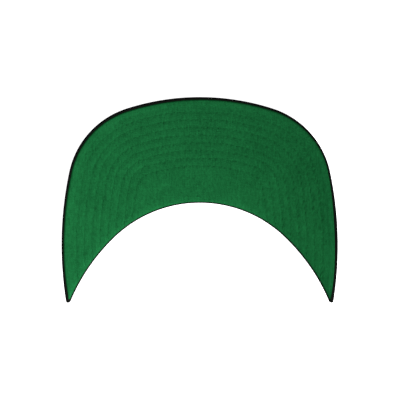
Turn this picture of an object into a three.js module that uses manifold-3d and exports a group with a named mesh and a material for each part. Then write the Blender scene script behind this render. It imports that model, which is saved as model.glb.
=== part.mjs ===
// The peak of a snapback cap, lying on its top cloth with the underside up.
// Millimetres, with +Z up, +Y towards the front rim and +X towards the right horn.
import * as THREE from 'three';
import { mergeVertices } from 'three/addons/utils/BufferGeometryUtils.js';
import Module from 'manifold-3d';

// Front rim: arcs that run on from each other, from the middle of the front round to a horn.
const FRONT_RADIUS = 155.5;
const FRONT_TURN_DEG = 18.2;
const SHOULDER_RADIUS = 56.4;
const SHOULDER_TURN_DEG = 60;
const SIDE_RADIUS = 238.4;

// Head edge, which is sewn to the crown: arcs from its middle out to a horn.
const PEAK_DEPTH = 70.2;
const HEAD_RADIUS = 81.7;
const HEAD_TURN_DEG = 43.7;
const FLANK_RADIUS = 125.5;
const HORN_TIP_RADIUS = 1.2;

// The peak bows gently from side to side.
const BOW_RADIUS = 470;

// Layers, from the floor up, with a gap between each two.
const UPPER_CLOTH_THICKNESS = 1.0;
const BOARD_THICKNESS = 1.6;
const UNDER_CLOTH_THICKNESS = 1.0;
const LAYER_GAP = 0.3;

// The upper cloth turns up round the rim and shows as a thin border.
const BORDER_WIDTH = 1.3;
const RIM_ROUND = 0.8;

// Stitch rows run at a steady distance from the rim, each one pulled down into a shallow channel.
const ROW_COUNT = 8;
const FIRST_ROW_DEPTH = 10.0;
const ROW_PITCH = 5.13;
const CHANNEL_WIDTH = 1.6;
const CHANNEL_DEPTH = 0.25;

// Steps along each arc of the rim, and how far the cutters run past what they cut.
const FRONT_STEPS = 6;
const SHOULDER_STEPS = 9;
const SIDE_STEPS = 13;
const TIP_STEPS = 3;
const CUTTER_OVERRUN = 3;

// The last arc of each edge is long enough to reach past the horn.
const LAST_TURN_DEG = 75;
const BISECTION_STEPS = 40;
const AT_HEAD_EDGE = Infinity;

// A heading of 0 runs along +X, and a growing heading turns towards the horn.
function outward(heading) {
  return new THREE.Vector2(Math.sin(heading), Math.cos(heading));
}

function pointOnArc(arc, heading) {
  return outward(heading).multiplyScalar(arc.radius).add(arc.centre);
}

// Arcs that touch end to end, from a start on the centre line where the chain runs sideways.
function arcChain(startY, arcs) {
  const chain = [];
  let centre = new THREE.Vector2(0, startY - arcs[0].radius);
  let heading = 0;
  for (const { radius, turnDeg, steps } of arcs) {
    if (chain.length > 0) {
      const shift = chain[chain.length - 1].radius - radius;
      centre = outward(heading).multiplyScalar(shift).add(centre);
    }
    const end = heading + THREE.MathUtils.degToRad(turnDeg);
    chain.push({ centre, radius, steps, from: heading, to: end });
    heading = end;
  }
  return chain;
}

const RIM = arcChain(0, [
  { radius: FRONT_RADIUS, turnDeg: FRONT_TURN_DEG, steps: FRONT_STEPS },
  { radius: SHOULDER_RADIUS, turnDeg: SHOULDER_TURN_DEG, steps: SHOULDER_STEPS },
  { radius: SIDE_RADIUS, turnDeg: LAST_TURN_DEG, steps: SIDE_STEPS },
]);

const HEAD = arcChain(-PEAK_DEPTH, [
  { radius: HEAD_RADIUS, turnDeg: HEAD_TURN_DEG },
  { radius: FLANK_RADIUS, turnDeg: LAST_TURN_DEG },
]);

// The nearest point of the rim to a point of the right half: its heading and the depth below it.
function nearestOnRim(point) {
  const feet = RIM.map(({ centre, radius, from, to }) => {
    const offset = point.clone().sub(centre);
    const heading = Math.atan2(offset.x, offset.y);
    const onArc = heading >= from && heading <= to;
    return { heading, depth: onArc ? radius - offset.length() : Infinity };
  });
  return feet.reduce((best, foot) => (foot.depth < best.depth ? foot : best));
}

// Where a falling function crosses zero.
function crossing(start, end, fallingFunction) {
  let low = start;
  let high = end;
  for (let step = 0; step < BISECTION_STEPS; step += 1) {
    const middle = (low + high) / 2;
    if (fallingFunction(middle) > 0) {
      low = middle;
    } else {
      high = middle;
    }
  }
  return (low + high) / 2;
}

// A chain moved sideways by a distance and ended at a heading.
function movedChain(chain, growth, end) {
  return chain
    .filter((arc) => arc.from < end)
    .map((arc) => ({ ...arc, radius: arc.radius + growth, to: Math.min(arc.to, end) }));
}

function arcLength(arc) {
  return Math.abs(arc.to - arc.from) * arc.radius;
}

function chainLength(chain) {
  return chain.reduce((sum, arc) => sum + arcLength(arc), 0);
}

function pointAlong(chain, length) {
  let left = length;
  for (const arc of chain.slice(0, -1)) {
    if (left <= arcLength(arc)) {
      return pointOnArc(arc, THREE.MathUtils.lerp(arc.from, arc.to, left / arcLength(arc)));
    }
    left -= arcLength(arc);
  }
  const last = chain[chain.length - 1];
  return pointOnArc(last, THREE.MathUtils.lerp(last.from, last.to, left / arcLength(last)));
}

// Both edges of the right half of a layer, from the centre line to the middle of its round tip.
function layerEdges({ rimInset, headInset, tipRadius }) {
  const headArcAt = (heading) => HEAD.find((arc) => heading <= arc.to);
  const tipCentreAt = (heading) => {
    const arc = headArcAt(heading);
    return pointOnArc({ ...arc, radius: arc.radius + headInset + tipRadius }, heading);
  };
  const headTouch = crossing(0, HEAD[HEAD.length - 1].to, (heading) => (
    nearestOnRim(tipCentreAt(heading)).depth - rimInset - tipRadius
  ));
  const centre = tipCentreAt(headTouch);
  const rimTouch = nearestOnRim(centre).heading;
  const middle = (rimTouch + headTouch + Math.PI) / 2;
  const tip = { centre, radius: tipRadius, steps: TIP_STEPS, to: middle };
  return {
    rim: [...movedChain(RIM, -rimInset, rimTouch), { ...tip, from: rimTouch }],
    head: [...movedChain(HEAD, headInset, headTouch), { ...tip, from: headTouch + Math.PI }],
  };
}

// How far along the head edge a column lands: the spacing from the tip matches on both edges.
function headShare(rimShare, lengthRatio) {
  return rimShare + (lengthRatio - 1) * rimShare * (1 - rimShare) ** 2;
}

// Columns across the right half, from the centre line to the tip. The first one stands half a step
// off the centre line, so that a flat strip lies on it.
function halfColumns(edges) {
  const rimLength = chainLength(edges.rim);
  const headLength = chainLength(edges.head);
  const columns = [];
  let passed = 0;
  edges.rim.forEach((arc, index) => {
    const firstStep = index === 0 ? 0.5 : 1;
    const lastStep = index === 0 ? arc.steps + 0.5 : arc.steps;
    for (let step = firstStep; step <= lastStep; step += 1) {
      const share = step / lastStep;
      const fromTip = 1 - (passed + share * arcLength(arc)) / rimLength;
      const onHead = (1 - headShare(fromTip, rimLength / headLength)) * headLength;
      columns.push({
        rim: pointOnArc(arc, THREE.MathUtils.lerp(arc.from, arc.to, share)),
        head: pointAlong(edges.head, onHead),
      });
    }
    passed += arcLength(arc);
  });
  return columns;
}

// The place on a column at a depth below the rim, kept between the column's two ends.
function placeOnColumn(column, depth) {
  if (depth <= nearestOnRim(column.rim).depth) {
    return column.rim.clone();
  }
  if (depth >= nearestOnRim(column.head).depth) {
    return column.head.clone();
  }
  const at = (share) => column.rim.clone().lerp(column.head, share);
  return at(crossing(0, 1, (share) => depth - nearestOnRim(at(share)).depth));
}

// A stitch channel fades out where its row runs off the head edge.
function sinkAt(column, line) {
  const left = nearestOnRim(column.head).depth - line.depth;
  return (line.sink ?? 0) * THREE.MathUtils.clamp(left / CHANNEL_WIDTH, 0, 1);
}

function bowAt(x) {
  return BOW_RADIUS - Math.sqrt(BOW_RADIUS ** 2 - x ** 2);
}

// The lines of a section on one column, as corners of the bowed layer.
function sectionOnColumn(column, section) {
  return section.map((line) => {
    const place = placeOnColumn(column, line.depth);
    const sink = line.depth === AT_HEAD_EDGE ? 0 : sinkAt(column, line);
    return new THREE.Vector3(place.x, place.y, line.z + sink + bowAt(place.x));
  });
}

function indexedGeometry(positions, indices) {
  const geometry = new THREE.BufferGeometry();
  geometry.setAttribute('position', new THREE.Float32BufferAttribute(positions, 3));
  geometry.setIndex(indices);
  return geometry;
}

// Shared corners are merged, and triangles that closed up at a tip or at the head edge are left out.
function withoutClosedTriangles(geometry) {
  const merged = mergeVertices(geometry);
  const corners = merged.getIndex().array;
  const kept = [];
  for (let at = 0; at < corners.length; at += 3) {
    const [a, b, c] = corners.slice(at, at + 3);
    if (a !== b && b !== c && c !== a) {
      kept.push(a, b, c);
    }
  }
  merged.setIndex(kept);
  return merged;
}

// A closed layer: its section, a loop of lines, carried from the left tip to the right one.
function layerGeometry(outline, section) {
  const right = halfColumns(layerEdges(outline)).map((column) => sectionOnColumn(column, section));
  const left = right.map((loop) => loop.map(({ x, y, z }) => new THREE.Vector3(-x, y, z)));
  const loops = [...left.reverse(), ...right];
  const positions = loops.flat().flatMap((corner) => corner.toArray());
  const size = section.length;
  const indices = [];
  for (let column = 0; column < loops.length - 1; column += 1) {
    for (let line = 0; line < size; line += 1) {
      const a = column * size + line;
      const b = column * size + ((line + 1) % size);
      indices.push(a, b + size, b, a, a + size, b + size);
    }
  }
  return withoutClosedTriangles(indexedGeometry(positions, indices));
}

// The lines of all stitch rows on one face. sink moves the middle line of each row off the face.
function rowLines(z, sink) {
  const lines = [];
  for (let row = 0; row < ROW_COUNT; row += 1) {
    const depth = FIRST_ROW_DEPTH + row * ROW_PITCH;
    lines.push(
      { depth: depth - CHANNEL_WIDTH / 2, z },
      { depth, z, sink },
      { depth: depth + CHANNEL_WIDTH / 2, z },
    );
  }
  return lines;
}

function plainSection(rimInset, bottom, top) {
  return [
    { depth: AT_HEAD_EDGE, z: bottom },
    { depth: AT_HEAD_EDGE, z: top },
    { depth: rimInset, z: top },
    { depth: rimInset, z: bottom },
  ];
}

// Heights of the layers.
const BOARD_BOTTOM = UPPER_CLOTH_THICKNESS + LAYER_GAP;
const BOARD_TOP = BOARD_BOTTOM + BOARD_THICKNESS;
const UNDER_CLOTH_BOTTOM = BOARD_TOP + LAYER_GAP;
const PEAK_THICKNESS = UNDER_CLOTH_BOTTOM + UNDER_CLOTH_THICKNESS;

// The board and the under cloth lie inside the border, each clear of it by the layer gap.
const INNER_TIP_RADIUS = HORN_TIP_RADIUS / 2;
const BOARD_INSET = BORDER_WIDTH + LAYER_GAP;

const WHOLE_OUTLINE = { rimInset: 0, headInset: 0, tipRadius: HORN_TIP_RADIUS };
const INNER_OUTLINE = { rimInset: BOARD_INSET, headInset: 0, tipRadius: INNER_TIP_RADIUS };
const POCKET_OUTLINE = {
  rimInset: BORDER_WIDTH,
  headInset: -CUTTER_OVERRUN,
  tipRadius: INNER_TIP_RADIUS,
};

// The rim's round from the floor up to the border's face, as depths and heights.
function rimLines() {
  const inStep = RIM_ROUND * (1 - Math.SQRT1_2);
  return [
    { depth: RIM_ROUND, z: 0 },
    { depth: inStep, z: inStep },
    { depth: 0, z: RIM_ROUND },
    { depth: 0, z: PEAK_THICKNESS - RIM_ROUND },
    { depth: inStep, z: PEAK_THICKNESS - inStep },
    { depth: RIM_ROUND, z: PEAK_THICKNESS },
  ];
}

// The whole peak as one body, with stitch channels in its top cloth.
function wholePeakGeometry() {
  const rim = rimLines().reverse();
  const headWall = rimLines().map(({ z }) => ({ depth: AT_HEAD_EDGE, z }));
  const stitchedFace = rowLines(0, CHANNEL_DEPTH);
  return layerGeometry(WHOLE_OUTLINE, [...headWall, ...rim, ...stitchedFace]);
}

function pocketGeometry() {
  const top = PEAK_THICKNESS + CUTTER_OVERRUN;
  return layerGeometry(POCKET_OUTLINE, plainSection(BORDER_WIDTH, UPPER_CLOTH_THICKNESS, top));
}

function boardGeometry() {
  return layerGeometry(INNER_OUTLINE, plainSection(BOARD_INSET, BOARD_BOTTOM, BOARD_TOP));
}

function underClothGeometry() {
  const [headBottom, headTop, rimTop, rimBottom] = plainSection(
    BOARD_INSET,
    UNDER_CLOTH_BOTTOM,
    PEAK_THICKNESS,
  );
  const stitchedFace = rowLines(PEAK_THICKNESS, -CHANNEL_DEPTH).reverse();
  return layerGeometry(INNER_OUTLINE, [headBottom, headTop, ...stitchedFace, rimTop, rimBottom]);
}

const wasm = await Module();
wasm.setup();

function solidFrom(geometry) {
  return new wasm.Manifold(new wasm.Mesh({
    numProp: 3,
    vertProperties: new Float32Array(geometry.getAttribute('position').array),
    triVerts: new Uint32Array(geometry.getIndex().array),
  }));
}

// What is left of the whole peak under and round the pocket for the board and the under cloth.
function upperClothGeometry() {
  const cloth = solidFrom(wholePeakGeometry()).subtract(solidFrom(pocketGeometry()));
  const { vertProperties, triVerts } = cloth.getMesh();
  return indexedGeometry(Array.from(vertProperties), Array.from(triVerts));
}

function piece(name, geometry, finish) {
  geometry.computeVertexNormals();
  const mesh = new THREE.Mesh(geometry, new THREE.MeshStandardMaterial(finish));
  mesh.name = name;
  return mesh;
}

const peak = new THREE.Group();
peak.add(
  piece('upper_cloth', upperClothGeometry(), { color: 0x14160f, roughness: 0.9, metalness: 0 }),
  piece('peak_board', boardGeometry(), { color: 0x2a2c2a, roughness: 0.6, metalness: 0 }),
  piece('under_cloth', underClothGeometry(), { color: 0x1b6236, roughness: 0.9, metalness: 0 }),
);

// The origin is on the floor under the middle of the peak's box.
const box = new THREE.Box3().setFromObject(peak);
peak.position.set(0, -(box.min.y + box.max.y) / 2, -box.min.z);

export default peak;
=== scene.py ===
# The looks of a cap peak: green stitched underside up, dark top cloth below, board between them.
# Metres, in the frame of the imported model.
import math

import bpy
import numpy as np
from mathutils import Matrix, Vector


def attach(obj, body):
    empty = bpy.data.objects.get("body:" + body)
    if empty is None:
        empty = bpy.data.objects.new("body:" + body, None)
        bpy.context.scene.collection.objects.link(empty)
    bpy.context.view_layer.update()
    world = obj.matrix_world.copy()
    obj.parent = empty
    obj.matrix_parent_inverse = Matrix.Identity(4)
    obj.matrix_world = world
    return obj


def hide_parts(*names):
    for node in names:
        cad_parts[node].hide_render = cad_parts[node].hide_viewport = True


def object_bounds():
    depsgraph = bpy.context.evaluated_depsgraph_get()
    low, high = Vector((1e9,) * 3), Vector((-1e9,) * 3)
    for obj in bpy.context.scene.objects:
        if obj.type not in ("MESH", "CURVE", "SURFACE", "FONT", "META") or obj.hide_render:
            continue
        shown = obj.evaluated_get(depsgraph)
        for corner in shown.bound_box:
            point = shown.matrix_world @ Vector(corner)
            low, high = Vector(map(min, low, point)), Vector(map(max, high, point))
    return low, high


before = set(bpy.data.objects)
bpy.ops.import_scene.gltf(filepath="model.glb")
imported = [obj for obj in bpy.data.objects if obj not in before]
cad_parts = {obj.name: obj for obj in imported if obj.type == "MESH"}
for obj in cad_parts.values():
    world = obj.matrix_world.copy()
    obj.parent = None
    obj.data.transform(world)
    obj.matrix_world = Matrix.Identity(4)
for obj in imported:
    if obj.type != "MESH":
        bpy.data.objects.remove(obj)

CAD_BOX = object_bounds()
MM = 0.001

# Front rim: arcs that run on from each other, from the middle of the front to a horn
FRONT_RADIUS = 155.5 * MM
FRONT_TURN = math.radians(18.2)
SHOULDER_RADIUS = 56.4 * MM
SHOULDER_TURN = math.radians(60)
SIDE_RADIUS = 238.4 * MM

# Head edge
PEAK_DEPTH = 70.2 * MM
HEAD_RADIUS = 81.7 * MM
HEAD_TURN = math.radians(43.7)
FLANK_RADIUS = 125.5 * MM
OUTER_TIP_RADIUS = 1.6 * MM
INNER_TIP_RADIUS = 1.0 * MM
LAST_TURN = math.radians(75)

# The side to side bow, and the heights of the layers above the floor
BOW_RADIUS = 470 * MM
PEAK_THICKNESS = 4.2 * MM
UPPER_CLOTH_INSIDE = 1.15 * MM
UNDER_CLOTH_INSIDE = 3.05 * MM
FRONT_Y = CAD_BOX[1][1]

# The border of dark cloth that turns up round the rim
BORDER_WIDTH = 1.3 * MM
BORDER_GAP = 0.12 * MM
BORDER_LIP = 0.10 * MM
FRONT_SWELL = 0.60 * MM
FRONT_SWELL_PLACE = -42 * MM
FRONT_SWELL_REACH = 60 * MM
RIGHT_SWELL = 0.80 * MM
RIGHT_SWELL_PLACE = 147 * MM
RIGHT_SWELL_REACH = 32 * MM
TIP_SWELL = 0.85 * MM
TIP_SWELL_PLACE = 197 * MM
TIP_SWELL_REACH = 17 * MM
SWELL_FADE = 2.0 * MM
RIM_SWELL_SHARE = 0.3
BOARD_EDGE = 1.55 * MM
BOARD_TOP = 2.97 * MM
RIM_ROUND = 0.75 * MM
RIM_ROUND_SHAPE = 0.8
HEAD_INSET = 0.60 * MM
HEAD_OUTSET = 0.22 * MM

# Stitch rows, which run at these depths below the rim
ROW_COUNT = 8
FIRST_ROW = 10.0 * MM
ROW_PITCH = 5.13 * MM
ROW_PHASE = 0.381
ROW_WANDER = 0.11 * MM
ROW_WANDER_REACH = 11 * MM
STITCH_DRIFT = 0.42 * MM
STITCH_DRIFT_REACH = 8.3 * MM
WANDER_STEP = 2.4
ROW_END_MARGIN = 0.9 * MM
LONGEST_ROW = 200 * MM
STITCH_PITCH = 3.8 * MM
CHANNEL_WIDTH = 0.9 * MM
CHANNEL_DEPTH = 0.020 * MM
HOLE_WIDTH = 0.65 * MM
HOLE_DEPTH = 0.06 * MM

# Stitches and their thread
THREAD_RADIUS = 0.20 * MM
THREAD_LIFT = -0.12 * MM
THREAD_DIP = 0.40 * MM
THREAD_TWIST = 0.6 * MM
THREAD_SIDES = 6
STITCH_STEPS = 6
STITCH_SHARE = 0.94
STITCH_END_THINNING = 0.35
STITCH_END_SHARPNESS = 4

# Forms of the cloths: rolled edges, the raised band inside the border, puffs between rows, slow waves
RIM_ROLL_WIDTH = 1.2 * MM
RIM_ROLL_DROP = 0.3 * MM
HEAD_ROLL_WIDTH = 6.0 * MM
HEAD_ROLL_DROP = 0.55 * MM
SEAM_BAND = 5.6 * MM
SEAM_BAND_EDGE = 1.2 * MM
SEAM_BAND_HEIGHT = 0.08 * MM
BORDER_PUFF = 0.06 * MM
BORDER_PUFF_SHAPE = 0.7
ROW_PUFF = 0.02 * MM
TOP_PUFF = 0.06 * MM
TOP_PUFF_FADE = 6 * MM
WAVE_HEIGHT = 0.05 * MM
LONG_WAVES = (17 * MM, 23 * MM)
LONG_WAVE_PHASES = (1.3, -0.4)
LONG_WAVE_SHARE = 0.7
SHORT_WAVES = (7.5 * MM, 11 * MM)

# Finish of the cotton
YARN_PITCH = 0.36 * MM
CROSS_PITCH = 0.40 * MM
FLOAT_STEPS = 3
YARN_WOBBLE = 0.12 * MM
YARN_WOBBLE_SIZE = 3 * MM
FLOAT_SHAPE = 0.8
FLOAT_DIP = 0.9
YARN_GROOVE = 0.5
WEAVE_RELIEF = 0.06 * MM
WEAVE_RELIEF_SHARE = 0.8
WEAVE_PAINTED_LIGHT_AND_SHADE = 0.35
COTTON_ROUGHNESS = 0.9
COTTON_POLISH = 0.06
MOTTLE_SIZE = 0.9 * MM
MOTTLE_TONE = 0.3
STREAK_SIZE = 0.9 * MM
STREAK_STRETCH = 0.22
STREAK_TONE = 0.35
CROSS_STREAK_TONE = 0.2
FLECK_SIZE = 0.5 * MM
FLECK_TONE = 0.32
CLOUD_SIZE = 15 * MM
CLOUD_TONE = 0.15
CHANNEL_PAINTED_SHADE = 0.04
SEAM_BAND_TONE = 0.05
HOLE_SHADE_WIDTH = 0.55 * MM
EDGE_SHADE_WIDTH = 0.7 * MM
EDGE_SHADE = 0.2
GROOVE_SHADE_WIDTH = 1.5 * MM
GROOVE_SHADE = 0.12
GREEN_DARK = (0.0026, 0.0405, 0.0108, 1.0)
GREEN_LIGHT = (0.0108, 0.141, 0.0398, 1.0)
GREEN_HOLE_SHADE = 0.23
BLACK_DARK = (0.0025, 0.0032, 0.0025, 1.0)
BLACK_LIGHT = (0.009, 0.0105, 0.009, 1.0)
BLACK_HOLE_SHADE = 0.2

# Finish of the thread
THREAD_PLY_PAINTED_SHADE = 0.2
THREAD_FUZZ_SIZE = 0.3 * MM
THREAD_FUZZ_TONE = 0.3
THREAD_ROUGHNESS = 0.7
THREAD_ROUGHNESS_SPREAD = 0.08
THREAD_RELIEF = 0.06 * MM
GREEN_THREAD_DARK = (0.004, 0.06, 0.015, 1.0)
GREEN_THREAD_LIGHT = (0.009, 0.12, 0.033, 1.0)
BLACK_THREAD_DARK = (0.004, 0.005, 0.004, 1.0)
BLACK_THREAD_LIGHT = (0.014, 0.018, 0.014, 1.0)

# Finish of the board
GRAIN_SIZE = 0.25 * MM
GRAIN_TONE = 0.35
CUT_MARK_SIZE = 0.5 * MM
CUT_MARK_STRETCH = (0.2, 0.2, 4)
CUT_MARK_TONE = 0.25
BOARD_ROUGHNESS = 0.7
BOARD_ROUGHNESS_SPREAD = 0.1
BOARD_GLOSS = 0.03
BOARD_RELIEF = 0.06 * MM
BOARD_DARK = (0.003, 0.004, 0.003, 1.0)
BOARD_LIGHT = (0.010, 0.012, 0.010, 1.0)

# Mesh steps: along half of the peak, across each face, across each hidden side, and round the rim
HALF_STEPS = 340
FACE_STEPS = 116
HIDDEN_STEPS = 9
RIM_STEPS = 10

# How the steps crowd at the tips and edges, and how corners that meet are welded
CROWDING = 0.8
TIP_CROWDING_REACH = 0.02
EDGE_CROWDING_REACH = 0.018
WELD_GAP = 0.002 * MM
LEAST_EDGE = 0.001 * MM
SMOOTH_ANGLE = math.radians(50)

# Rounds of each search: for a crossing, for a place along a row, and for a depth in a column
CROSSING_ROUNDS = 50
ALONG_ROUNDS = 8
DEPTH_ROUNDS = 4

# The picture: the camera looks straight down, and a low soft panel stands off the right horn
CAMERA_PLACE = (0.18 * MM, -0.02 * MM, 1200 * MM)
SENSOR_WIDTH = 36.0
FRAME_WIDTH = 265.6 * MM
FRAME_HEIGHT_ABOVE_FLOOR = 3.6 * MM
WORLD_LIGHT = 0.403
FLOOR_SIZE = 12.0
FLOOR_GLOW = 0.95
FLOOR_CLOUD_SIZE = 0.5
FLOOR_CLOUD_TONE = 0.3
FLOOR_DARK = (0.88, 0.88, 0.88, 1.0)
FLOOR_LIGHT = (0.9, 0.9, 0.9, 1.0)
WHITE = (1.0, 1.0, 1.0, 1.0)
PANEL_PLACE = (0.5, -0.5, 0.2)
PANEL_SIZE = 0.25
PANEL_POWER = 20.4
FARTHEST_VIEW = 100


class Arc:
    """Part of a circle, turned through from one heading to another. Heading 0 runs along +X."""

    def __init__(self, centre, radius, start, end):
        self.centre = centre
        self.radius = radius
        self.start = start
        self.end = end
        self.length = abs(end - start) * radius

    def at(self, heading):
        heading = np.asarray(heading)
        facing = np.stack([np.sin(heading), np.cos(heading)], axis=-1)
        return self.centre + self.radius * facing

    def moved(self, growth, end):
        return Arc(self.centre, self.radius + growth, self.start, min(self.end, end))


def arc_chain(start_y, arcs):
    """Arcs that touch end to end, from a start on the centre line where they run sideways."""
    chain = []
    centre = np.array([0.0, start_y - arcs[0][0]])
    heading = 0.0
    for radius, turn in arcs:
        if chain:
            facing = np.array([math.sin(heading), math.cos(heading)])
            centre = centre + (chain[-1].radius - radius) * facing
        chain.append(Arc(centre, radius, heading, heading + turn))
        heading += turn
    return chain


RIM = arc_chain(FRONT_Y, [
    (FRONT_RADIUS, FRONT_TURN),
    (SHOULDER_RADIUS, SHOULDER_TURN),
    (SIDE_RADIUS, LAST_TURN),
])
HEAD = arc_chain(FRONT_Y - PEAK_DEPTH, [
    (HEAD_RADIUS, HEAD_TURN),
    (FLANK_RADIUS, LAST_TURN),
])


def rim_place(points):
    """Depth below the rim and length along the row there, for points on the right half."""
    depth = np.full(points.shape[:-1], np.inf)
    along = np.zeros(points.shape[:-1])
    for index, arc in enumerate(RIM):
        offset = points - arc.centre
        heading = np.arctan2(offset[..., 0], offset[..., 1])
        here = arc.radius - np.linalg.norm(offset, axis=-1)
        nearer = (heading >= arc.start - 1e-9) & (heading <= arc.end) & (here < depth)
        before = sum((other.radius - here) * (other.end - other.start) for other in RIM[:index])
        depth = np.where(nearer, here, depth)
        along = np.where(nearer, before + (arc.radius - here) * (heading - arc.start), along)
    return depth, along


def head_distance(points):
    """How far points of the right half lie from the head edge."""
    best = np.full(points.shape[:-1], np.inf)
    for arc in HEAD:
        offset = points - arc.centre
        heading = np.arctan2(offset[..., 0], offset[..., 1])
        here = np.linalg.norm(offset, axis=-1) - arc.radius
        nearer = (heading >= arc.start - 1e-9) & (heading <= arc.end) & (here < best)
        best = np.where(nearer, here, best)
    return best


def crossing(low, high, falling):
    """Where a falling function crosses zero."""
    for _ in range(CROSSING_ROUNDS):
        middle = (low + high) / 2
        if falling(middle) > 0:
            low = middle
        else:
            high = middle
    return (low + high) / 2


def trimmed(chain, growth, end):
    return [arc.moved(growth, end) for arc in chain if arc.start < end]


def layer_edges(rim_inset, head_inset, tip_radius):
    """The right half of a layer's rim edge and head edge, from the centre line to its round tip."""
    def tip_centre(heading):
        arc = next(arc for arc in HEAD if heading <= arc.end)
        return arc.moved(head_inset + tip_radius, arc.end).at(heading)

    def room(heading):
        return float(rim_place(tip_centre(heading))[0]) - rim_inset - tip_radius

    head_touch = crossing(0.0, HEAD[-1].end, room)
    centre = tip_centre(head_touch)
    offset = centre - RIM[-1].centre
    rim_touch = math.atan2(offset[0], offset[1])
    middle = (rim_touch + head_touch + math.pi) / 2
    rim = trimmed(RIM, -rim_inset, rim_touch) + [Arc(centre, tip_radius, rim_touch, middle)]
    head = trimmed(HEAD, head_inset, head_touch) + [Arc(centre, tip_radius, head_touch + math.pi, middle)]
    return rim, head


def points_along(arcs, lengths):
    """Points at these lengths along a path of arcs."""
    points = np.zeros((len(lengths), 2))
    begin = 0.0
    for arc in arcs:
        later = lengths >= begin
        share = (lengths[later] - begin) / arc.length
        points[later] = arc.at(arc.start + share * (arc.end - arc.start))
        begin += arc.length
    return points


def crowded(shares, reach, both_ends):
    """Shares from 0 to 1 that crowd towards 0, or towards both ends."""
    def pulled(values):
        start = CROWDING * reach * (1 - np.exp(-values / reach))
        end = CROWDING * reach * (1 - np.exp(-(1 - values) / reach))
        return values - start + (end if both_ends else 0)

    low, high = pulled(np.array([0.0, 1.0]))
    return (pulled(shares) - low) / (high - low)


def half_columns(rim_inset, head_inset, tip_radius):
    """Matching points on the rim edge and the head edge, from the centre line to the right tip."""
    rim, head = layer_edges(rim_inset, head_inset, tip_radius)
    rim_length = sum(arc.length for arc in rim)
    head_length = sum(arc.length for arc in head)
    from_tip = crowded(np.linspace(0, 1, HALF_STEPS + 1), TIP_CROWDING_REACH, False)[::-1]
    on_head = from_tip + (rim_length / head_length - 1) * from_tip * (1 - from_tip) ** 2
    rim_points = points_along(rim, (1 - from_tip) * rim_length)
    head_points = points_along(head, (1 - on_head) * head_length)
    return rim_points, head_points


def bow(x):
    return BOW_RADIUS - np.sqrt(BOW_RADIUS ** 2 - x ** 2)


def row_depth(row):
    return FIRST_ROW + row * ROW_PITCH


def row_wander(row, along):
    """How far a row strays inwards from its even depth."""
    return ROW_WANDER * np.sin(along / ROW_WANDER_REACH + row * WANDER_STEP)


def stitch_count(row, along):
    """The number of stitches from the centre line, which are whole at the needle holes."""
    drift = STITCH_DRIFT * np.sin(along / STITCH_DRIFT_REACH + row * WANDER_STEP)
    return (along + drift) / STITCH_PITCH + row * ROW_PHASE


def along_of_count(row, count):
    """The length along a row at which a number of stitches is reached."""
    along = (count - row * ROW_PHASE) * STITCH_PITCH
    for _ in range(ALONG_ROUNDS):
        along = along + (count - stitch_count(row, along)) * STITCH_PITCH
    return along


def nearest_row(depth):
    return np.clip(np.round((depth - FIRST_ROW) / ROW_PITCH), 0, ROW_COUNT - 1)


def row_relief(depth, along, head_gap, hole_depth):
    """Height of a stitched face: channels with needle dimples, and cloth puffed up between them."""
    row = nearest_row(depth)
    off_row = depth - row_depth(row) - row_wander(row, along)
    stitches = stitch_count(row, along)
    off_hole = (stitches - np.round(stitches)) * STITCH_PITCH
    present = np.clip(head_gap / (2 * ROW_END_MARGIN), 0, 1)
    channel = CHANNEL_DEPTH * np.exp(-(off_row / CHANNEL_WIDTH) ** 2)
    hole = hole_depth * np.exp(-(off_row ** 2 + off_hole ** 2) / HOLE_WIDTH ** 2)

    among_rows = (depth > FIRST_ROW) & (depth < row_depth(ROW_COUNT - 1))
    between_rows = np.where(among_rows, np.sin(math.pi * off_row / ROW_PITCH) ** 2, 0)
    before_rows = np.sin(math.pi * np.clip(depth / FIRST_ROW, 0, 1)) ** BORDER_PUFF_SHAPE
    band = SEAM_BAND_HEIGHT * np.clip((SEAM_BAND - depth) / SEAM_BAND_EDGE + 0.5, 0, 1)
    puff = ROW_PUFF * between_rows + BORDER_PUFF * before_rows + band
    return puff * present - (channel + hole) * present


def slow_waves(x, y):
    """The unevenness of a stuffed and stitched cloth, over a few centimetres."""
    across = np.sin(x / LONG_WAVES[0] + LONG_WAVE_PHASES[0])
    down = np.cos(y / LONG_WAVES[1] + LONG_WAVE_PHASES[1])
    short_wave = np.sin(x / SHORT_WAVES[0] + y / SHORT_WAVES[1])
    return WAVE_HEIGHT * (LONG_WAVE_SHARE * across * down + (1 - LONG_WAVE_SHARE) * short_wave)


def edge_roll(gap, width, drop):
    """How far a rolled edge lies below the face at a gap from the edge."""
    share = np.clip(1 - gap / width, 0, 1)
    return drop * (1 - np.sqrt(1 - share ** 2))


def share_at_depth(rim_points, head_points, depth):
    """The share of each column that reaches a depth below the rim, from 0 to 1."""
    span = head_points - rim_points
    start = rim_place(rim_points)[0]
    slope = np.maximum(rim_place(head_points)[0] - start, 1e-7)
    share = np.clip((depth - start) / slope, 0, 1)
    for _ in range(DEPTH_ROUNDS):
        here = rim_place(rim_points + span * share[:, None])[0]
        share = np.clip(share + (depth - here) / slope, 0, 1)
    return share


def grid_mesh(name, rows, columns):
    """A new grid of that many vertices each way, ready to be shaped."""
    bpy.ops.object.select_all(action="DESELECT")
    bpy.ops.mesh.primitive_grid_add(x_subdivisions=columns - 1, y_subdivisions=rows - 1, size=1)
    piece = bpy.context.object
    piece.name = name
    piece.data.name = name
    return piece


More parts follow.
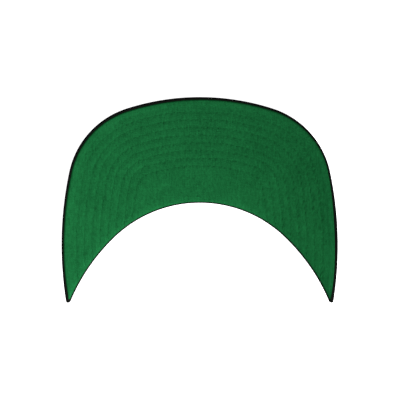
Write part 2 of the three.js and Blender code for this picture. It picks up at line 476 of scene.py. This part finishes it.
def weld(piece):
    """Merges the corners that meet at the tips and along the seam, and faces them outwards."""
    bpy.ops.object.select_all(action="DESELECT")
    piece.select_set(True)
    bpy.context.view_layer.objects.active = piece
    bpy.ops.object.mode_set(mode="EDIT")
    bpy.ops.mesh.select_all(action="SELECT")
    bpy.ops.mesh.remove_doubles(threshold=WELD_GAP)
    bpy.ops.mesh.dissolve_degenerate(threshold=LEAST_EDGE)
    bpy.ops.mesh.normals_make_consistent(inside=False)
    bpy.ops.object.mode_set(mode="OBJECT")
    bpy.ops.object.shade_smooth_by_angle(angle=SMOOTH_ANGLE)


def add_attribute(piece, name, values):
    layer = piece.data.attributes.new(name, "FLOAT", "POINT")
    layer.data.foreach_set("value", np.ascontiguousarray(values, dtype=np.float32).ravel())


def bell(values, place, reach):
    return np.exp(-((values - place) / reach) ** 2)


def border_swell(along):
    """How much wider than its least width the border is: left of the front, on the right, at the tips."""
    front = FRONT_SWELL * bell(along, FRONT_SWELL_PLACE, FRONT_SWELL_REACH)
    right = RIGHT_SWELL * bell(along, RIGHT_SWELL_PLACE, RIGHT_SWELL_REACH)
    tips = TIP_SWELL * bell(np.abs(along), TIP_SWELL_PLACE, TIP_SWELL_REACH)
    return front + right + tips


def rim_gradient(points):
    """The direction straight in from the rim, at points of either half."""
    step = 0.01 * MM
    right = np.stack([np.abs(points[..., 0]), points[..., 1]], axis=-1)
    depth = rim_place(right)[0]
    inwards_x = (rim_place(right + np.array([step, 0]))[0] - depth) / step
    inwards_y = (rim_place(right + np.array([0, step]))[0] - depth) / step
    return np.stack([inwards_x * np.where(points[..., 0] < 0, -1, 1), inwards_y], axis=-1)


class Columns:
    """The samples of a whole cloth in plan, loop by loop from the left tip to the right one."""

    def __init__(self, rim_inset, head_inset, tip_radius, shares_of):
        rim_points, head_points = half_columns(rim_inset, head_inset, tip_radius)
        shares = shares_of(rim_points, head_points)
        span = head_points - rim_points
        points = rim_points[:, None, :] + span[:, None, :] * shares[..., None]
        depth, along = rim_place(points)
        rim_gap = np.maximum(depth - rim_place(rim_points)[0][:, None], 0)
        head_gap = np.maximum(head_distance(points) - head_distance(head_points)[:, None], 0)
        self.points = both_halves(points, mirrored_points)
        self.depth = both_halves(depth, np.copy)
        self.along = both_halves(along, np.negative)
        self.rim_gap = both_halves(rim_gap, np.copy)
        self.head_gap = both_halves(head_gap, np.copy)

    def swollen(self, weight):
        """The samples near the border moved with it, by a weight from 0 to 1."""
        weight = weight * np.clip(self.head_gap / SWELL_FADE, 0, 1)
        distance = border_swell(self.along) * weight
        return self.points + rim_gradient(self.points) * distance[..., None]

    def cloth(self, name, points, height):
        """A closed cloth over these samples, which knows its rows and its edge."""
        corners = np.concatenate([points, (height + bow(points[..., 0]))[..., None]], axis=-1)
        piece = grid_mesh(name, corners.shape[0], corners.shape[1] + 1)
        piece.data.vertices.foreach_set("co", looped(corners).reshape(-1).astype(np.float32))
        add_attribute(piece, "row_along", looped(self.along))
        add_attribute(piece, "row_depth", looped(self.depth))
        add_attribute(piece, "head_gap", looped(self.head_gap))
        add_attribute(piece, "rim_gap", looped(self.rim_gap))
        piece.data.update()
        weld(piece)
        return piece


def looped(samples):
    """Section loops with their first sample once more at their end."""
    return np.concatenate([samples, samples[:, :1]], axis=1)


def both_halves(half, mirror):
    """The left half, a mirror of the right one, and the right half without its first loop."""
    return np.concatenate([mirror(half)[::-1], half[1:]], axis=0)


def mirrored_points(points):
    return points * np.array([-1.0, 1.0])


def face_shares():
    return crowded(np.linspace(0, 1, FACE_STEPS + 1), EDGE_CROWDING_REACH, True)


def hidden_shares():
    return np.linspace(0, 1, HIDDEN_STEPS)


def green_height(points, relief):
    return PEAK_THICKNESS + relief + slow_waves(points[..., 0], points[..., 1])


def green_cloth():
    """The underside cloth: rolled edges, puffed border, channels and dimples along the rows."""
    face = face_shares()
    loop = np.concatenate([face, hidden_shares()[::-1]])
    inset = BORDER_WIDTH + BORDER_GAP
    columns = Columns(inset, HEAD_INSET, INNER_TIP_RADIUS, lambda rim, head: np.tile(loop, (len(rim), 1)))

    relief = row_relief(columns.depth, columns.along, columns.head_gap, HOLE_DEPTH)
    height = green_height(columns.points, relief)
    rim_drop = edge_roll(columns.rim_gap, RIM_ROLL_WIDTH, RIM_ROLL_DROP)
    head_drop = edge_roll(columns.head_gap, HEAD_ROLL_WIDTH, HEAD_ROLL_DROP)
    height -= np.maximum(rim_drop, head_drop)
    height[:, len(face):] = UNDER_CLOTH_INSIDE

    points = columns.swollen(np.exp(-columns.rim_gap / SWELL_FADE))
    return columns.cloth("green_underside", points, height)


def black_height(relief, head_gap):
    """The outer face rests on its most puffed parts and lies flat by the head edge."""
    lifted = TOP_PUFF * np.clip(head_gap / TOP_PUFF_FADE, 0, 1)
    return np.maximum(lifted - relief, 0)


def border_profile():
    """Depths, heights and swell weights of the samples round the rim, over the border and down its hem."""
    turn = np.linspace(0, math.pi, RIM_STEPS + 1)[1:]
    round_depth = RIM_ROUND * (1 - np.sin(turn) ** RIM_ROUND_SHAPE)
    round_height = PEAK_THICKNESS * (1 - np.cos(turn)) / 2
    hem_depth = BORDER_WIDTH - np.array([BORDER_LIP, 0, 0])
    hem_height = np.array([PEAK_THICKNESS, PEAK_THICKNESS - 2 * BORDER_LIP, BOARD_TOP])
    depth = np.concatenate([round_depth, hem_depth, [BOARD_EDGE, BOARD_EDGE]])
    height = np.concatenate([round_height, hem_height, [BOARD_TOP, UPPER_CLOTH_INSIDE]])
    weight = np.concatenate([np.zeros(RIM_STEPS - 1), [RIM_SWELL_SHARE], np.ones(len(hem_depth)), [0, 0]])
    return depth, height, weight


def sealed_tip(wall, count):
    """Heights that lead back down the wall of a tip, so that inside and outside meet there."""
    return wall[np.linspace(len(wall) - 1, 0, count).round().astype(int)]


def black_cloth():
    """The top cloth: stitched outer face on the floor, round rim, and the border on the underside."""
    border_depth, border_height, border_weight = border_profile()
    faces = FACE_STEPS + 1
    hem = faces + RIM_STEPS
    inside = faces + len(border_depth)

    def shares_of(rim, head):
        start = share_at_depth(rim, head, RIM_ROUND)[:, None]
        outer_face = start + (1 - start) * face_shares()[::-1]
        border = np.stack([share_at_depth(rim, head, depth) for depth in border_depth], axis=1)
        inner_face = border[:, -1:] + (1 - border[:, -1:]) * hidden_shares()[1:]
        return np.concatenate([outer_face, border, inner_face], axis=1)

    columns = Columns(0.0, -HEAD_OUTSET, OUTER_TIP_RADIUS, shares_of)
    relief = row_relief(columns.depth, columns.along, columns.head_gap, HOLE_DEPTH)
    height = black_height(relief, columns.head_gap)
    height[:, faces:inside] = border_height
    height[:, inside:] = UPPER_CLOTH_INSIDE
    height[[0, -1], hem:] = sealed_tip(border_height[:RIM_STEPS], height.shape[1] - hem)

    weight = np.zeros(height.shape)
    weight[:, faces:inside] = border_weight
    return columns.cloth("black_top_cloth", columns.swollen(weight), height)


def row_points(depth, along):
    """Plan points at these lengths along rows at these depths, on either half."""
    far = np.abs(along)
    points = np.zeros(along.shape + (2,))
    begin = np.zeros(along.shape)
    for arc in RIM:
        radius = arc.radius - depth
        heading = arc.start + (far - begin) / radius
        facing = np.stack([np.sin(heading), np.cos(heading)], axis=-1)
        here = arc.centre + radius[..., None] * facing
        points = np.where((far >= begin)[..., None], here, points)
        begin = begin + radius * (arc.end - arc.start)
    points[..., 0] *= np.where(along < 0, -1, 1)
    return points


def row_holes(row):
    """The count at a row's first needle hole, and how many stitches the row has."""
    depth = np.array(row_depth(row))

    def room(along):
        return float(head_distance(row_points(depth, np.array(along)))) - ROW_END_MARGIN

    reach = crossing(0.0, LONGEST_ROW, room)
    first = math.ceil(stitch_count(row, -reach))
    last = math.floor(stitch_count(row, reach))
    return first, last - first


def one_stitch(name):
    """A stitch along X: a short thread whose ends turn down into its needle holes."""
    length = STITCH_PITCH * STITCH_SHARE
    bpy.ops.object.select_all(action="DESELECT")
    bpy.ops.mesh.primitive_cylinder_add(
        vertices=THREAD_SIDES, radius=THREAD_RADIUS, depth=length, rotation=(0, math.pi / 2, 0))
    stitch = bpy.context.object
    stitch.name = name
    bpy.ops.object.transform_apply(location=True, rotation=True, scale=True)
    bpy.ops.object.mode_set(mode="EDIT")
    bpy.ops.mesh.select_mode(type="EDGE")
    bpy.ops.mesh.select_all(action="DESELECT")
    bpy.ops.object.mode_set(mode="OBJECT")
    vertices = stitch.data.vertices
    for edge in stitch.data.edges:
        start, end = (vertices[index].co for index in edge.vertices)
        edge.select = (start - end).length > length / 2
    bpy.ops.object.mode_set(mode="EDIT")
    bpy.ops.mesh.subdivide(number_cuts=STITCH_STEPS - 1)
    bpy.ops.object.mode_set(mode="OBJECT")
    bpy.ops.object.shade_smooth()

    corners = corners_of(stitch)
    add_attribute(stitch, "thread_across", corners[:, 1] / THREAD_RADIUS)
    add_attribute(stitch, "thread_up", corners[:, 2] / THREAD_RADIUS)
    end_share = (2 * corners[:, 0] / length) ** STITCH_END_SHARPNESS
    corners[:, 1:] *= (1 - STITCH_END_THINNING * end_share)[:, None]
    corners[:, 2] += THREAD_LIFT - (THREAD_LIFT + THREAD_DIP) * end_share
    stitch.data.vertices.foreach_set("co", corners.reshape(-1).astype(np.float32))
    return stitch


def corners_of(piece):
    corners = np.zeros(len(piece.data.vertices) * 3, dtype=np.float32)
    piece.data.vertices.foreach_get("co", corners)
    return corners.reshape(-1, 3).astype(float)


def stitch_row(name, row, lay):
    """One row of stitches, laid along its own depth."""
    first, count = row_holes(row)
    thread = one_stitch(name)
    repeat = thread.modifiers.new("repeat", "ARRAY")
    repeat.use_relative_offset = False
    repeat.use_constant_offset = True
    repeat.constant_offset_displace = (STITCH_PITCH, 0, 0)
    repeat.count = count
    bpy.ops.object.modifier_apply(modifier=repeat.name)

    corners = corners_of(thread)
    along = along_of_count(row, first + 0.5 + corners[:, 0] / STITCH_PITCH)
    depth = row_depth(row) + row_wander(row, along)
    corners = lay(depth, along, corners[:, 1], corners[:, 2])
    thread.data.vertices.foreach_set("co", corners.reshape(-1).astype(np.float32))
    add_attribute(thread, "thread_along", along)
    thread.data.update()
    return thread


def laid_on_green(depth, along, across, up):
    points = row_points(depth - across, along)
    relief = row_relief(depth, along, head_gaps(points), 0)
    height = green_height(points, relief) + up + bow(points[:, 0])
    return np.column_stack([points, height])


def laid_on_black(depth, along, across, up):
    points = row_points(depth + across, along)
    gaps = head_gaps(points)
    height = black_height(row_relief(depth, along, gaps, 0), gaps) - up + bow(points[:, 0])
    return np.column_stack([points, height])


def head_gaps(points):
    return head_distance(np.stack([np.abs(points[..., 0]), points[..., 1]], axis=-1))


def stitches(name, lay):
    """All the rows of one side, joined."""
    rows = [stitch_row(f"{name}_{row}", row, lay) for row in range(ROW_COUNT)]
    bpy.ops.object.select_all(action="DESELECT")
    for row in rows:
        row.select_set(True)
    bpy.context.view_layer.objects.active = rows[0]
    bpy.ops.object.join()
    joined = bpy.context.object
    joined.name = name
    joined.data.name = name
    return joined


class Shade:
    """A number that a finish's nodes work out. Sums on it add the nodes that do them."""

    def __init__(self, finish, socket):
        self.finish = finish
        self.socket = socket

    def sum(self, operation, *values):
        return self.finish.sum(operation, *values)

    def __add__(self, other):
        return self.sum("ADD", self, other)

    __radd__ = __add__

    def __sub__(self, other):
        return self.sum("SUBTRACT", self, other)

    def __rsub__(self, other):
        return self.sum("SUBTRACT", other, self)

    def __mul__(self, other):
        return self.sum("MULTIPLY", self, other)

    __rmul__ = __mul__

    def __truediv__(self, other):
        return self.sum("DIVIDE", self, other)

    def __neg__(self):
        return self.sum("MULTIPLY", self, -1)

    def between(self, low, high):
        return self.sum("MINIMUM", self.sum("MAXIMUM", self, low), high)

    def rounded(self):
        return self.sum("ROUND", self)

    def fraction(self):
        return self.sum("FRACT", self)

    def power(self, exponent):
        return self.sum("POWER", self, exponent)

    def sine(self):
        return self.sum("SINE", self)

    def bell(self, width):
        """One at zero, and falling away on both sides over a width."""
        share = self / width
        return self.sum("EXPONENT", -(share * share))


class Finish:
    """A material under construction."""

    def __init__(self, name):
        self.material = bpy.data.materials.new(name)
        self.material.use_nodes = True
        self.tree = self.material.node_tree
        self.tree.nodes.clear()
        self.shader = self.node("ShaderNodeBsdfPrincipled")
        self.node("ShaderNodeOutputMaterial", values={"Surface": self.shader.outputs["BSDF"]})

    def node(self, kind, settings=None, values=None):
        """A node with its settings made first, and then the values or links of its sockets."""
        made = self.tree.nodes.new(kind)
        for name, value in (settings or {}).items():
            setattr(made, name, value)
        for name, value in (values or {}).items():
            self.put(made.inputs[name], value)
        return made

    def put(self, socket, value):
        if isinstance(value, Shade):
            value = value.socket
        if isinstance(value, bpy.types.NodeSocket):
            self.tree.links.new(value, socket)
        else:
            socket.default_value = value

    def sum(self, operation, *values):
        made = self.node("ShaderNodeMath", {"operation": operation}, dict(enumerate(values)))
        return Shade(self, made.outputs[0])

    def place(self, stretch=(1, 1, 1)):
        """Object coordinates, stretched for a pattern."""
        where = self.node("ShaderNodeTexCoord").outputs["Object"]
        values = {"Vector": where, "Scale": stretch}
        return self.node("ShaderNodeMapping", values=values).outputs["Vector"]

    def axes(self):
        split = self.node("ShaderNodeSeparateXYZ", values={"Vector": self.place()})
        return [Shade(self, socket) for socket in split.outputs]

    def attribute(self, name):
        made = self.node("ShaderNodeAttribute", {"attribute_name": name})
        return Shade(self, made.outputs["Fac"])

    def noise(self, size, stretch=(1, 1, 1), detail=2.0):
        """Soft blotches about as big as a size, from -1 to 1."""
        values = {"Vector": self.place(stretch), "Scale": 1 / size, "Detail": detail}
        made = self.node("ShaderNodeTexNoise", values=values)
        return Shade(self, made.outputs[0]) * 2 - 1

    def mixed(self, share, first, second):
        made = self.node("ShaderNodeMix", {"data_type": "RGBA"}, {0: share, 6: first, 7: second})
        return made.outputs[2]

    def bump(self, height, distance):
        """A relief of a height from 0 to 1, over a distance in metres."""
        values = {"Height": height, "Distance": distance}
        return self.node("ShaderNodeBump", values=values).outputs["Normal"]

    def set(self, **values):
        """Values and links of the shader, with underscores for the spaces of its sockets."""
        for name, value in values.items():
            self.put(self.shader.inputs[name.replace("_", " ")], value)


def twill(finish):
    """Yarns side by side, each floating over two cross yarns one step on from its neighbour."""
    x, y, _ = finish.axes()
    yarns = (x + finish.noise(YARN_WOBBLE_SIZE, detail=1.0) * YARN_WOBBLE) / YARN_PITCH
    across = (yarns.fraction() * math.pi).sine()
    step = ((y / CROSS_PITCH + yarns) / FLOAT_STEPS).fraction()
    float_height = (step * math.pi).sine().power(FLOAT_SHAPE)
    return (1 - YARN_GROOVE + across * YARN_GROOVE) * (1 - FLOAT_DIP + float_height * FLOAT_DIP)


def row_masks(finish):
    """Where the stitch rows sink the cloth and where the needle went through, from 0 to 1, for the painted
    shade along the rows.
    """
    rows = (finish.attribute("row_depth") - FIRST_ROW) / ROW_PITCH
    row = rows.rounded().between(0, ROW_COUNT - 1)
    along = finish.attribute("row_along")
    wander = (along / ROW_WANDER_REACH + row * WANDER_STEP).sine() * ROW_WANDER
    drift = (along / STITCH_DRIFT_REACH + row * WANDER_STEP).sine() * STITCH_DRIFT
    off_row = (rows - row) * ROW_PITCH - wander
    stitch = (along + drift) / STITCH_PITCH + row * ROW_PHASE
    off_hole = (stitch - stitch.rounded()) * STITCH_PITCH
    channel = off_row.bell(CHANNEL_WIDTH)
    hole = off_row.bell(HOLE_SHADE_WIDTH) * off_hole.bell(HOLE_SHADE_WIDTH)
    present = (finish.attribute("head_gap") / ROW_END_MARGIN).between(0, 1)
    return channel * present, hole * present


def shaded_edge(finish, gap, width, least):
    """One on the face, and down to a least value where the cloth turns under at an edge."""
    return least + (finish.attribute(gap) / width).between(0, 1) * (1 - least)


def cotton_twill(name, dark, light, hole_shade):
    """A woven cotton: yarn relief with painted highlight and shade, mottled dye, streaks along the warp,
    and painted shade at the rows and edges.
    """
    finish = Finish(name)
    weave = twill(finish)
    channel, hole = row_masks(finish)
    mottle = finish.noise(MOTTLE_SIZE, detail=3.0)
    streaks = finish.noise(STREAK_SIZE, stretch=(1, STREAK_STRETCH, 1))
    cross_streaks = finish.noise(STREAK_SIZE, stretch=(STREAK_STRETCH, 1, 1))
    flecks = finish.noise(FLECK_SIZE, detail=1.0)
    clouds = finish.noise(CLOUD_SIZE, detail=1.0)
    tone = 0.5 + mottle * MOTTLE_TONE + flecks * FLECK_TONE + clouds * CLOUD_TONE
    tone = tone + streaks * STREAK_TONE + cross_streaks * CROSS_STREAK_TONE
    band = ((SEAM_BAND - finish.attribute("row_depth")) / SEAM_BAND_EDGE + 0.5).between(0, 1)
    # Painted highlight and shade: the colour is lighter on the yarn floats and darker in the grooves and
    # crossings between them.
    tone = tone + (weave - 0.5) * WEAVE_PAINTED_LIGHT_AND_SHADE + band * SEAM_BAND_TONE
    # Painted shade: the colour is darker along the stitch channels and in the needle holes.
    tone = tone - channel * CHANNEL_PAINTED_SHADE - hole * hole_shade
    tone = tone * shaded_edge(finish, "head_gap", EDGE_SHADE_WIDTH, EDGE_SHADE)
    tone = (tone * shaded_edge(finish, "rim_gap", GROOVE_SHADE_WIDTH, GROOVE_SHADE)).between(0, 1)
    relief = weave * WEAVE_RELIEF_SHARE + mottle * (1 - WEAVE_RELIEF_SHARE)
    finish.set(
        Base_Color=finish.mixed(tone, dark, light),
        Roughness=COTTON_ROUGHNESS - weave * COTTON_POLISH,
        Normal=finish.bump(relief, WEAVE_RELIEF),
        Specular_IOR_Level=0.0,
    )
    return finish.material


def sewing_thread(name, dark, light):
    """A twisted thread: plies that wind round it, with painted shade between them."""
    finish = Finish(name)
    across = finish.attribute("thread_across")
    up = finish.attribute("thread_up")
    wind = finish.attribute("thread_along") * (2 * math.pi / THREAD_TWIST)
    quarter = wind + math.pi / 2
    double_sine = across * up * 2
    double_cosine = up * up - across * across
    plies = wind.sine() * double_cosine + quarter.sine() * double_sine
    fuzz = finish.noise(THREAD_FUZZ_SIZE, detail=2.0)
    # Painted shade: the colour is darker in the grooves between the plies, where the same tone sinks the
    # bump.
    tone = (0.5 + plies * THREAD_PLY_PAINTED_SHADE + fuzz * THREAD_FUZZ_TONE).between(0, 1)
    finish.set(
        Base_Color=finish.mixed(tone, dark, light),
        Roughness=THREAD_ROUGHNESS - fuzz * THREAD_ROUGHNESS_SPREAD,
        Normal=finish.bump(tone, THREAD_RELIEF),
        Specular_IOR_Level=0.0,
    )
    return finish.material


def board_plastic():
    """Dark board with a fine matte grain and cut marks."""
    finish = Finish("dark peak board")
    grain = finish.noise(GRAIN_SIZE, detail=4.0)
    marks = finish.noise(CUT_MARK_SIZE, stretch=CUT_MARK_STRETCH)
    tone = (0.5 + grain * GRAIN_TONE + marks * CUT_MARK_TONE).between(0, 1)
    finish.set(
        Base_Color=finish.mixed(tone, BOARD_DARK, BOARD_LIGHT),
        Roughness=BOARD_ROUGHNESS + grain * BOARD_ROUGHNESS_SPREAD,
        Normal=finish.bump((grain + marks) / 2, BOARD_RELIEF),
        Specular_IOR_Level=BOARD_GLOSS,
    )
    return finish.material


def floor_paint():
    """Pale studio floor, lit a little from within so that it stays white round the peak."""
    finish = Finish("pale studio floor")
    cloud = finish.noise(FLOOR_CLOUD_SIZE, detail=1.0)
    tone = (0.5 + cloud * FLOOR_CLOUD_TONE).between(0, 1)
    finish.set(
        Base_Color=finish.mixed(tone, FLOOR_DARK, FLOOR_LIGHT),
        Roughness=0.9,
        Specular_IOR_Level=0.0,
        Emission_Color=WHITE,
        Emission_Strength=FLOOR_GLOW,
    )
    return finish.material


def coat(piece, material):
    piece.data.materials.clear()
    piece.data.materials.append(material)


def soft_light(name, place, size, power):
    """A square panel that faces the peak."""
    bpy.ops.object.light_add(type="AREA", location=place)
    lamp = bpy.context.object
    lamp.name = name
    lamp.rotation_euler = Vector(place).to_track_quat("Z", "Y").to_euler()
    lamp.data.shape = "SQUARE"
    lamp.data.size = size
    lamp.data.energy = power


def studio():
    """The floor, the pale surroundings, one soft panel and the camera."""
    bpy.ops.mesh.primitive_plane_add(size=FLOOR_SIZE)
    floor = bpy.context.object
    floor.name = "studio_floor"
    coat(floor, floor_paint())

    world = bpy.data.worlds.new("pale studio")
    world.use_nodes = True
    background = world.node_tree.nodes["Background"]
    background.inputs["Color"].default_value = WHITE
    background.inputs["Strength"].default_value = WORLD_LIGHT
    bpy.context.scene.world = world
    bpy.context.scene.view_settings.view_transform = "Standard"

    soft_light("key_panel", PANEL_PLACE, PANEL_SIZE, PANEL_POWER)

    bpy.ops.object.camera_add(location=CAMERA_PLACE)
    camera = bpy.context.object
    camera.name = "overhead_camera"
    camera.data.sensor_width = SENSOR_WIDTH
    camera.data.lens = SENSOR_WIDTH * (CAMERA_PLACE[2] - FRAME_HEIGHT_ABOVE_FLOOR) / FRAME_WIDTH
    camera.data.clip_end = FARTHEST_VIEW
    bpy.context.scene.camera = camera


def peak():
    """The pieces of the peak, with their finishes."""
    green = green_cloth()
    coat(green, cotton_twill("green cotton twill", GREEN_DARK, GREEN_LIGHT, GREEN_HOLE_SHADE))
    black = black_cloth()
    coat(black, cotton_twill("black cotton twill", BLACK_DARK, BLACK_LIGHT, BLACK_HOLE_SHADE))
    green_thread = stitches("underside_stitches", laid_on_green)
    coat(green_thread, sewing_thread("green thread", GREEN_THREAD_DARK, GREEN_THREAD_LIGHT))
    black_thread = stitches("top_stitches", laid_on_black)
    coat(black_thread, sewing_thread("black thread", BLACK_THREAD_DARK, BLACK_THREAD_LIGHT))

    for piece, node in [
        (green, "under_cloth"), (green_thread, "under_cloth"),
        (black, "upper_cloth"), (black_thread, "upper_cloth"),
    ]:
        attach(piece, "root")
        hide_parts(node)
    coat(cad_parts["peak_board"], board_plastic())


peak()
studio()
